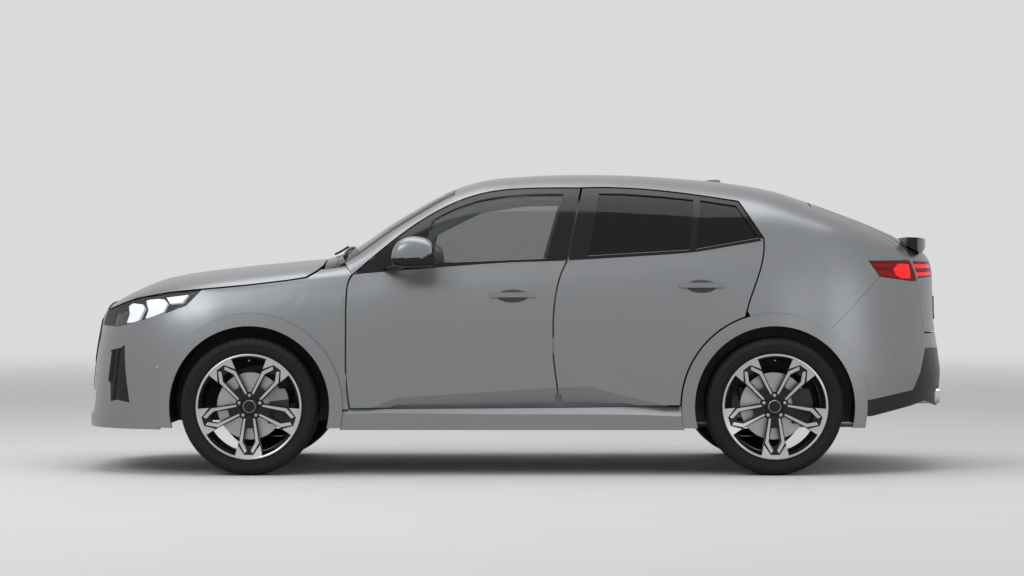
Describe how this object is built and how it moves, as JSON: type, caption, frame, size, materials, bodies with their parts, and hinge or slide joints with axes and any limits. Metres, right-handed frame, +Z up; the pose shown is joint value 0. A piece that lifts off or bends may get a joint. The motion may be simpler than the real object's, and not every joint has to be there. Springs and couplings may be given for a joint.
{
  "type": "coupe sport utility vehicle",
  "caption": "Compact coupe sport utility vehicle with a sloping hatch, opening doors, hood and tailgate, steered front wheels and a hollow cabin",
  "frame": {"origin": "on the ground, under the middle of the car's bounding box", "axes": "+X forward, +Y to the car's left, +Z up"},
  "size_m": [4.5538, 2.104, 1.5648],
  "materials": {
    "paint": "satin metallic light grey",
    "black_trim": "gloss black",
    "clear_glass": "clear, faint green tint",
    "dark_glass": "dark privacy tint",
    "lamp_clear": "clear lens",
    "lamp_red": "red lens",
    "cabin_plastic": "grained dark plastic",
    "seat_cover": "dark leather",
    "chassis": "black coated steel",
    "engine_block": "cast",
    "steel": "bare steel",
    "tyre": "matt black rubber",
    "alloy": "machined face, black pockets"
  },
  "bodies": {
    "body": {"floor_pan": "chassis", "side_frame_left": "paint", "side_frame_right": "paint", "roof_panel": "paint", "windscreen": "clear_glass", "cowl_panel": "black_trim", "front_bumper": "paint", "grille": "black_trim", "rear_bumper": "paint", "rear_valance": "black_trim", "front_fenders": "paint", "headlamps": "lamp_clear", "tail_lamps": "lamp_red", "side_skirts": "paint", "arch_flares": "paint", "engine": "engine_block", "dashboard": "cabin_plastic", "steering_wheel": "cabin_plastic", "front_seats": "seat_cover", "rear_bench": "seat_cover", "front_subframe": "chassis", "rear_axle": "chassis", "exhaust": "steel"},
    "knuckle_left": {"knuckle_left": "chassis"},
    "knuckle_right": {"knuckle_right": "chassis"},
    "wheel_front_left": {"rim_front_left": "alloy", "tyre_front_left": "tyre", "brake_disc_front_left": "steel"},
    "wheel_front_right": {"rim_front_right": "alloy", "tyre_front_right": "tyre", "brake_disc_front_right": "steel"},
    "wheel_rear_left": {"rim_rear_left": "alloy", "tyre_rear_left": "tyre", "brake_disc_rear_left": "steel"},
    "wheel_rear_right": {"rim_rear_right": "alloy", "tyre_rear_right": "tyre", "brake_disc_rear_right": "steel"},
    "door_front_left": {"front_door_left": "paint", "front_glass_left": "clear_glass", "mirror_left": "paint"},
    "door_front_right": {"front_door_right": "paint", "front_glass_right": "clear_glass", "mirror_right": "paint"},
    "door_rear_left": {"rear_door_left": "paint", "rear_glass_left": "dark_glass"},
    "door_rear_right": {"rear_door_right": "paint", "rear_glass_right": "dark_glass"},
    "hood": {"hood": "paint"},
    "tailgate": {"tailgate": "paint", "tailgate_glass": "dark_glass", "tailgate_lamps": "lamp_red", "spoiler": "black_trim"}
  },
  "joints": [
    {"name": "steer_left", "type": "hinge", "parent": "body", "child": "knuckle_left", "pos_m": [1.368, 0.752, 0.352], "axis": [0, 0, 1], "range_deg": [-33, 33]},
    {"name": "steer_right", "type": "hinge", "parent": "body", "child": "knuckle_right", "pos_m": [1.368, -0.752, 0.352], "axis": [0, 0, 1], "range_deg": [-33, 33]},
    {"name": "spin_front_left", "type": "hinge", "parent": "knuckle_left", "child": "wheel_front_left", "pos_m": [1.368, 0.792, 0.352], "axis": [0, 1, 0], "continuous": true},
    {"name": "spin_front_right", "type": "hinge", "parent": "knuckle_right", "child": "wheel_front_right", "pos_m": [1.368, -0.792, 0.352], "axis": [0, 1, 0], "continuous": true},
    {"name": "spin_rear_left", "type": "hinge", "parent": "body", "child": "wheel_rear_left", "pos_m": [-1.324, 0.792, 0.352], "axis": [0, 1, 0], "continuous": true},
    {"name": "spin_rear_right", "type": "hinge", "parent": "body", "child": "wheel_rear_right", "pos_m": [-1.324, -0.792, 0.352], "axis": [0, 1, 0], "continuous": true},
    {"name": "open_door_front_left", "type": "hinge", "parent": "body", "child": "door_front_left", "pos_m": [0.874, 0.889, 0.46], "axis": [0, 0, -1], "range_deg": [0, 65]},
    {"name": "open_door_front_right", "type": "hinge", "parent": "body", "child": "door_front_right", "pos_m": [0.874, -0.889, 0.46], "axis": [0, 0, 1], "range_deg": [0, 65]},
    {"name": "open_door_rear_left", "type": "hinge", "parent": "body", "child": "door_rear_left", "pos_m": [-0.189, 0.889, 0.665], "axis": [0, 0, -1], "range_deg": [0, 65]},
    {"name": "open_door_rear_right", "type": "hinge", "parent": "body", "child": "door_rear_right", "pos_m": [-0.189, -0.889, 0.665], "axis": [0, 0, 1], "range_deg": [0, 65]},
    {"name": "open_hood", "type": "hinge", "parent": "body", "child": "hood", "pos_m": [0.996, 0, 1.1187], "axis": [0, -1, 0], "range_deg": [0, 50]},
    {"name": "open_tailgate", "type": "hinge", "parent": "body", "child": "tailgate", "pos_m": [-1.542, 0, 1.41671], "axis": [0, 1, 0], "range_deg": [0, 75]}
  ],
  "couplings": [
    {"joint": "steer_right", "follows": "steer_left", "ratio": 1}
  ]
}
